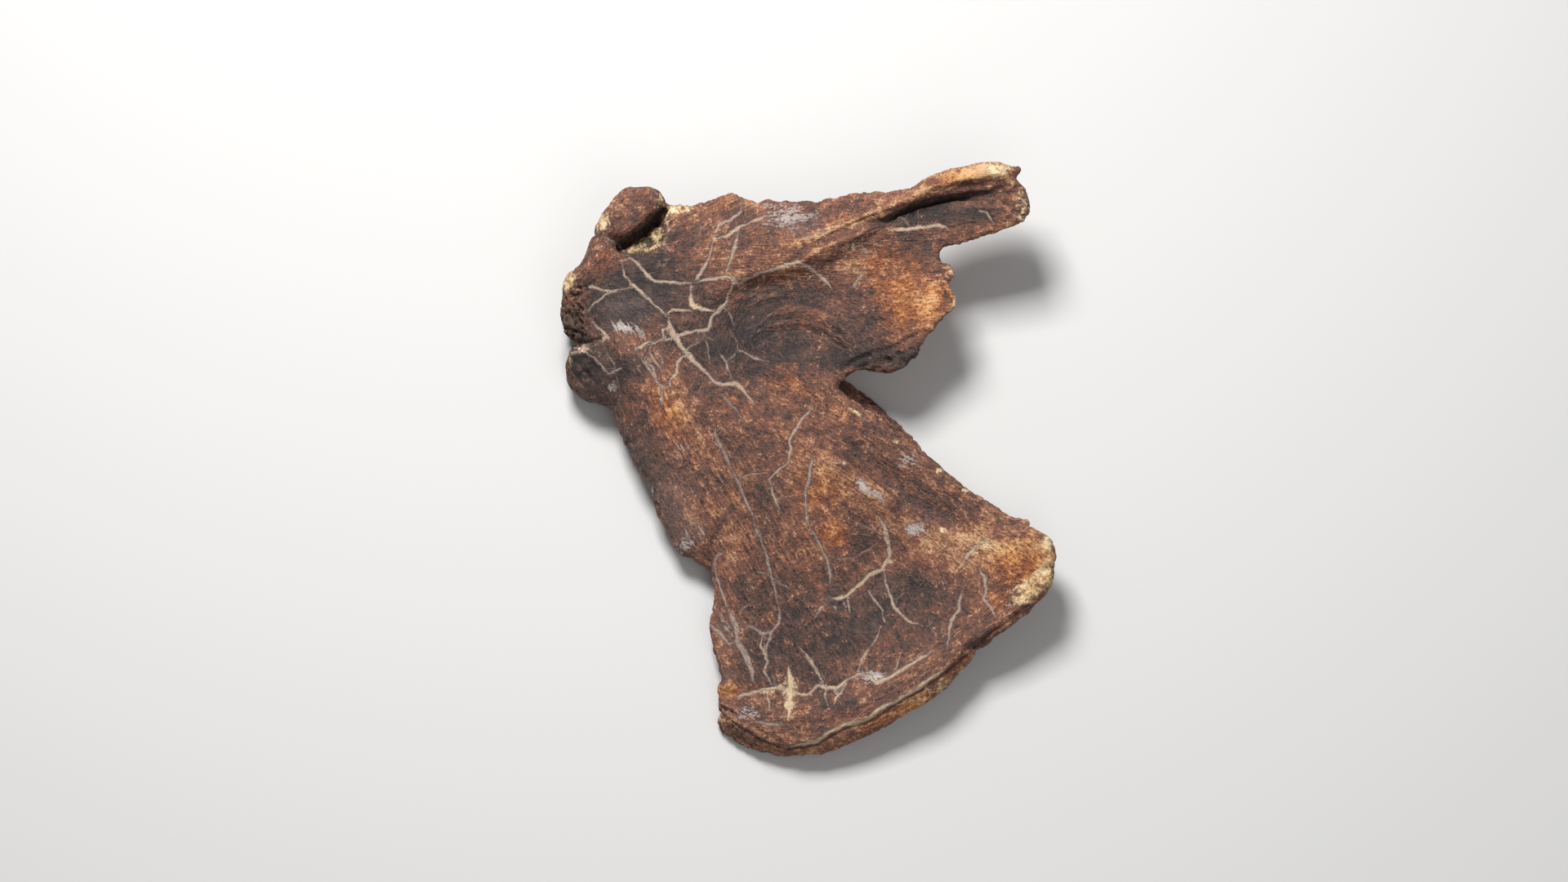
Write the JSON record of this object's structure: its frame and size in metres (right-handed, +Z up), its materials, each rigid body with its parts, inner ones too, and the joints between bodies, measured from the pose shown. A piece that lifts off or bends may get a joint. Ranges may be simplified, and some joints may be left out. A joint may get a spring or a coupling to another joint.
{
  "type": "fossil ground sloth scapula",
  "caption": "Broken fossil shoulder blade of a ground sloth, lying on its outer side: glenoid end, coracoid knob, spine and fanned blade with a deep notch.",
  "frame": {"origin": "middle of the bounding box's bottom face, at the level of the three spots that the bone rests on", "axes": "+Y from the thick vertebral border towards the cranial border and coracoid knob, the longest extent; +X from the glenoid end towards the broken lobe; +Z up, out of the rib side, the shortest extent"},
  "size_m": [0.3798, 0.4502, 0.0905],
  "materials": {
    "fossil_bone": "mineralised bone, dry matt, rust brown with cream sediment in its cracks"
  },
  "bodies": {
    "root": {"scapula": "fossil_bone"}
  },
  "joints": []
}
